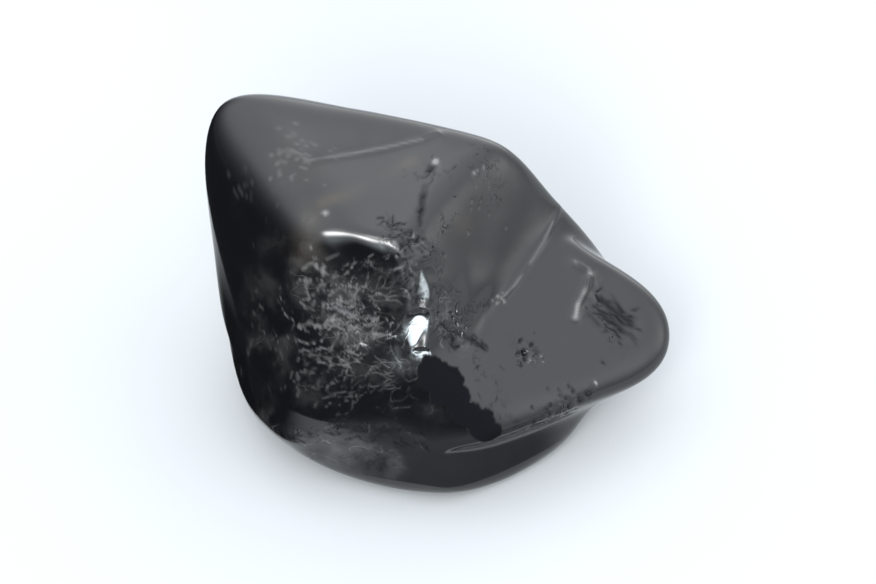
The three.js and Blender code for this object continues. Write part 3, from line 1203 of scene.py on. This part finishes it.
@dataclass(frozen=True)
class PolishedTourmaline:
    """Black tourmaline, tumbled to a gloss, with dull broken ground, a pale web of fractures, and painted
    highlights, glints, shade and a yellowish reflection.
    """

    name: str = "polished_black_tourmaline"
    body: Colour = (0.0035, 0.0035, 0.0042, 1.0)
    # grey of dust, scuffs and pale fractures, also of the painted highlights, glints and floor reflection
    dust: Colour = (0.16, 0.155, 0.15, 1.0)
    # brownish tint of the polish, also the colour of the painted yellowish reflection
    brown: Colour = (0.035, 0.026, 0.018, 1.0)
    # matt black of dark marks, painted shade between front and apron and in the nose's recess
    hollow: Colour = (0.005, 0.005, 0.0065, 1.0)
    refraction: float = 1.64
    # Roughness of the polish, broken ground and hollows, and what blotches, dust and scratches add.
    gloss: float = 0.10
    dull: float = 0.38
    matt: float = 0.8
    blotched: float = 0.06
    dusty: float = 0.3
    scratched: float = 0.28
    matt_shine: float = 0.04  # of the hollows
    # How pale the hairlines, the haze, the strokes and broken ground are; the first three partly paint
    # glints.
    hair: float = 0.3
    haze: float = 0.28
    vein: float = 0.75
    scuffed: float = 0.05
    # Heights of the polish's pebbling, torn edges, hollows and strokes, where one is bump mm.
    bump: float = 0.01
    pebbled: float = 0.35
    torn: float = 3.0
    sunk: float = 0.6
    raised: float = 0.5
    # Noises, and the size and reach in mm of those that push their places about.
    hair_push: Pair = (3.84, 2.16)
    hair_grain: Grain = Grain(2.4)
    hair_width: float = 0.02 / 2.4  # in the noise's own values
    hair_patches: Grain = Grain(1.92, window=(0.4, 0.6))
    haze_push: Pair = (1.0, 0.8)
    haze_grain: Grain = Grain(1.7, 5.0, (0.35, 0.8))
    stray_grain: Grain = Grain(2.2, 3.0)
    stray_share: float = 1.2
    web_edge: Pair = (0.1, 0.9)
    vein_grain: Grain = Grain(0.6, window=(0.3, 0.6))
    brown_grain: Grain = Grain(4.0, 3.0, (0.3, 0.6))
    blotch_grain: Grain = Grain(0.8, 4.0)
    dull_grain: Grain = Grain(1.0, 3.0)
    scratch_grain: Grain = Grain(0.7, 3.0, (0.2, 0.5))
    pebble_grain: Grain = Grain(0.9)
    torn_grain: Grain = Grain(0.7, 4.0, twist=0.8)
    chip_push: Pair = (0.5, 0.5)
    chip_grain: Grain = Grain(0.7, 1.0)
    chip_width: Pair = (0.008, 0.03)
    blot_grain: Grain = Grain(0.4, 1.0, (0.6, 0.68))
    chip_patches: Grain = Grain(0.9, window=(0.46, 0.58))

    def hairlines(self, board: Board, place: Signal) -> Signal:
        """Tangled lines, one where noise at a pushed place passes its middle value, in patches."""
        level = board.noise(board.pushed(place, *self.hair_push), self.hair_grain).off_middle()
        return (1.0 - level.between(0.0, self.hair_width)) * board.noise(place, self.hair_patches)

    def chips(self, board: Board, place: Signal) -> Signal:
        """Small ragged strokes and blots.

        Args:
            board: the material's nodes.
            place: the point on the surface.

        Returns:
            From 0 to 1: lines where noise at a pushed place is near its middle value, and blots where
            another is high, both in patches.
        """
        pushed = board.pushed(place, *self.chip_push)
        line = 1.0 - board.noise(pushed, self.chip_grain).off_middle().between(*self.chip_width)
        return line.largest(board.noise(pushed, self.blot_grain)) * board.noise(place, self.chip_patches)

    def material(self) -> bpy.types.Material:
        """The finish as a material.

        Returns:
            A glossy surface mixed with a matt black one where it is dark or chipped, which in places is
            painted shade. The glossy one's colour is the black body, browned in places, partly as a
            painted yellowish reflection, with a pale web, haze and strokes where it is fractured, which
            are partly painted glints and a painted floor reflection, and dust in cracks, which in places
            paints highlights. Its roughness rises where it is broken, dusty or scratched. The bump is the
            faint pebbling of the polish, the torn edges of broken ground, the sunk hollows and the raised
            strokes.
        """
        material = bpy.data.materials.new(self.name)
        board = Board(material)
        place = board.node("ShaderNodeTexCoord", output="Object")
        marks = {kind: board.mark(kind.value) for kind in Mark}
        # dust in cracks and pits, with the painted highlights of bright specks and crest lines
        broken, dusty = marks[Mark.BROKEN], marks[Mark.DUST]

        # the pale web, haze and strokes: fractures, partly painted glints, and a painted floor reflection
        # on the belly
        stray = (board.noise(place, self.stray_grain) - 0.5) * self.stray_share
        where = (marks[Mark.WEB] + stray).between(*self.web_edge)
        haze = board.noise(board.pushed(place, *self.haze_push), self.haze_grain)
        vein = marks[Mark.VEIN] * board.noise(place, self.vein_grain)
        hair = self.hairlines(board, place)
        pale = hair * where * self.hair + haze * where * self.haze + vein * self.vein

        # brownish tint, and the painted yellowish reflection below the top crest
        brown = marks[Mark.WARM] * board.noise(place, self.brown_grain)
        colour = board.blend(brown, self.body, self.brown, Blend.MIX)
        pale_and_painted_light = (pale + dusty + broken * self.scuffed).clipped()
        colour = board.blend(pale_and_painted_light, colour, self.dust, Blend.MIX)

        roughness = (
            self.gloss
            + (board.noise(place, self.blotch_grain) - 0.5) * self.blotched
            + broken * (self.dull - self.gloss) * board.noise(place, self.dull_grain)
            + dusty * self.dusty
            + marks[Mark.MISTY] * self.scratched * board.noise(place, self.scratch_grain)
        )
        # matt black where dark or chipped, in places painted shade
        dark = marks[Mark.DARK].largest(self.chips(board, place) * marks[Mark.CHIPPED])
        pebble = board.noise(place, self.pebble_grain) * self.pebbled
        torn = board.noise(place, self.torn_grain).off_middle() * broken * self.torn
        relief = pebble - torn - dark * self.sunk + vein * self.raised
        bumped = {"Strength": 1.0, "Distance": self.bump * MM, "Height": relief}
        bump = board.node("ShaderNodeBump", None, bumped)
        polish = {"Base Color": colour, "Roughness": roughness.clipped(), "IOR": self.refraction}
        black = {"Base Color": self.hollow, "Roughness": self.matt, "Specular IOR Level": self.matt_shine}
        glossy, matt = (
            board.node("ShaderNodeBsdfPrincipled", None, {**inputs, "Normal": bump})
            for inputs in (polish, black)
        )
        board.finish(board.mixed(dark.clipped(), glossy, matt))
        return material


@dataclass(frozen=True)
class MattFinish:
    """A plain matt colour."""

    name: str
    colour: Colour
    thins: bool = False  # to nothing where what the mesh stores as solid falls

    def material(self) -> bpy.types.Material:
        """The finish as a material.

        Returns:
            The colour, diffuse, mixed with clear where it thins.
        """
        material = bpy.data.materials.new(self.name)
        board = Board(material)
        surface = board.node("ShaderNodeBsdfDiffuse", None, {"Color": self.colour})
        if self.thins:
            surface = board.mixed(board.mark("solid"), board.node("ShaderNodeBsdfTransparent"), surface)
        board.finish(surface)
        return material


# ---- the studio


@dataclass(frozen=True)
class Glow:
    """One soft lobe of the studio's light: where it is, how wide, how bright and its tint."""

    azimuth: float
    elevation: float
    spread: float  # degrees from its middle to where it has fallen to about a third
    strength: float
    tint: Triple = (1.0, 1.0, 1.0)


@dataclass(frozen=True)
class Flag:
    """A curved dark card round the stone that only its gloss sees, as dark neighbours would be."""

    name: str
    start: float  # azimuth of one end
    end: float
    near: float  # mm from the heart to its foot
    away: float  # mm from the heart to its top
    tall: float  # mm
    fade: float  # mm below the top edge over which it thins out
    soft: float = 1.0  # degrees over which its ends thin out
    tone: float = 0.02


@dataclass
class Studio:
    """Floor, soft light all round and dark cards."""

    floor_reach: float = 1.6  # m from the middle to the edge
    floor_tone: Colour = (0.50, 0.51, 0.52, 1.0)
    horizon: Colour = (0.72, 0.76, 0.80, 1.0)
    zenith: Colour = (1.74, 1.83, 1.92, 1.0)
    glows: tuple[Glow, ...] = (
        Glow(-85, 14, 7.0, 22.0, (0.85, 0.95, 1.0)),
        Glow(-106, 38, 9.0, 20.0),
        Glow(-95, 58, 8.0, 5.0),
        Glow(4, 15, 11.0, 1.0),
        Glow(-17, 24, 10.0, 0.6),
        Glow(66, 62, 12.0, 0.5),
        Glow(65, 0, 24.0, 2.0),
        Glow(-85, 14, 15.0, 2.6, (0.7, 0.88, 1.0)),
    )
    flags: tuple[Flag, ...] = (
        Flag("flag_left", 118.0, 226.0, 24.0, 24.0, 25.0, 13.0, 18.0),
        Flag("flag_front", 196.0, 264.0, 27.0, 27.0, 21.0, 6.0),
        Flag("flag_front_right", 264.0, 292.0, 27.0, 27.0, 8.0, 2.0),
        Flag("flag_low_left", 150.0, 234.0, 11.2, 15.5, 9.0, 4.0, 24.0),
        Flag("flag_low_right", 232.0, 335.0, 8.8, 13.0, 6.0, 2.5, 18.0, 0.5),
    )

    def build_floor(self) -> bpy.types.Object:
        """Makes a flat square floor at the height the stone rests on.

        Returns:
            The floor, with its middle under the heart.
        """
        corners = np.array([(-1, -1, 0), (1, -1, 0), (1, 1, 0), (-1, 1, 0)]) * self.floor_reach
        floor = made_object("floor", corners, np.array([(0, 1, 2, 3)]), {})
        floor.data.materials.append(MattFinish("pale_floor", self.floor_tone).material())
        return floor

    def build_flag(self, flag: Flag) -> bpy.types.Object:
        """Makes a dark card seen only in reflections.

        Args:
            flag: its place and size.

        Returns:
            The card: a grid of two parameters, azimuth along it and height up it, leaning from its
            near distance to its away distance. Near its top and ends it thins to nothing.
        """
        azimuth, share = np.meshgrid(
            np.linspace(flag.start, flag.end, FLAG_CUTS), np.linspace(0.0, 1.0, FLAG_CUTS), indexing="ij"
        )
        turn = np.radians(azimuth)
        reach = (flag.near + share * (flag.away - flag.near)) * MM
        tall = (FLAG_FOOT + share * flag.tall) * MM
        points = np.stack([reach * np.cos(turn), reach * np.sin(turn), tall], -1).reshape(-1, 3)
        thick = ramp((1.0 - share) * flag.tall, 0.0, flag.fade)
        thick *= ramp(np.minimum(azimuth - flag.start, flag.end - azimuth), 0.0, flag.soft)
        squares = grid_squares(np.arange(len(points)).reshape(azimuth.shape))
        card = made_object(flag.name, points, squares, {"solid": thick})
        for ray in ("camera", "diffuse", "transmission", "volume_scatter", "shadow"):
            setattr(card, f"visible_{ray}", False)
        tone = (flag.tone, flag.tone, FLAG_BLUE * flag.tone, 1.0)
        card.data.materials.append(MattFinish(flag.name, tone, thins=True).material())
        return card

    def light(self) -> None:
        """Lights the scene from all round.

        The light from a direction is the horizon's tone at the ground, the zenith's overhead, and
        the sum of the glows: each its strength times e to the minus squared sine of half the angle
        from its middle over that of its spread.
        """
        world = bpy.data.worlds.new("soft_studio")
        bpy.context.scene.world = world
        board = Board(world)
        toward = board.node("ShaderNodeTexCoord", output="Generated")
        height = board.node("ShaderNodeSeparateXYZ", None, {0: toward}, output=2)
        total = board.blend(height.between(*HORIZON_EDGE), self.horizon, self.zenith, Blend.MIX)
        for glow in self.glows:
            pair = {0: toward, 1: tuple(direction(glow.azimuth, glow.elevation))}
            facing = board.node("ShaderNodeVectorMath", {"operation": "DOT_PRODUCT"}, pair, 1)
            narrow = 1.0 / (1.0 - math.cos(math.radians(glow.spread)))
            lobe = ((facing - 1.0) * narrow).math("EXPONENT")
            light = tuple(glow.strength * channel for channel in glow.tint) + (1.0,)
            shed = board.blend(lobe, (0.0, 0.0, 0.0, 1.0), light, Blend.MIX)
            total = board.blend(1.0, total, shed, Blend.ADD)
        board.finish(board.node("ShaderNodeBackground", None, {"Color": total, "Strength": 1.0}))


@dataclass
class Viewpoint:
    """The camera: where it looks from, at what, and how large."""

    elevation: float = 45.0
    away: float = 400.0  # mm
    look_at: Triple = (0.0, 3.7, 4.65)  # mm
    across: float = 47.2  # mm seen across the picture at that distance
    sensor: float = 36.0  # mm

    def build(self) -> bpy.types.Object:
        """Makes the camera and puts the scene on it.

        Returns:
            The camera, which looks along +Y and down by its elevation.
        """
        data = bpy.data.cameras.new("camera")
        data.sensor_width = self.sensor
        data.lens = self.sensor * self.away / self.across
        data.clip_start, data.clip_end = CLIP_DISTANCES
        camera = bpy.data.objects.new("camera", data)
        bpy.context.scene.collection.objects.link(camera)
        up = math.radians(self.elevation)
        back = Vector((0.0, -math.cos(up), math.sin(up)))
        camera.location = (Vector(self.look_at) + back * self.away) * MM
        camera.rotation_euler = (-back).to_track_quat("-Z", "Y").to_euler()
        bpy.context.scene.camera = camera
        return camera


def main() -> None:
    """Builds the stone, the studio and the camera."""
    logging.basicConfig(level=logging.INFO, format="%(name)s: %(message)s")
    stone = Stone()
    piece = stone.build()
    stone.dress(piece, PolishedTourmaline())
    log.info("%s: %d points, %d squares", piece.name, len(piece.data.vertices), len(piece.data.polygons))
    studio = Studio()
    log.info("%s laid", studio.build_floor().name)
    for flag in studio.flags:
        log.info("%s set up", studio.build_flag(flag).name)
    studio.light()
    log.info("%s placed", Viewpoint().build().name)
    bpy.context.scene.view_settings.view_transform = "Standard"


if __name__ == "__main__":
    main()
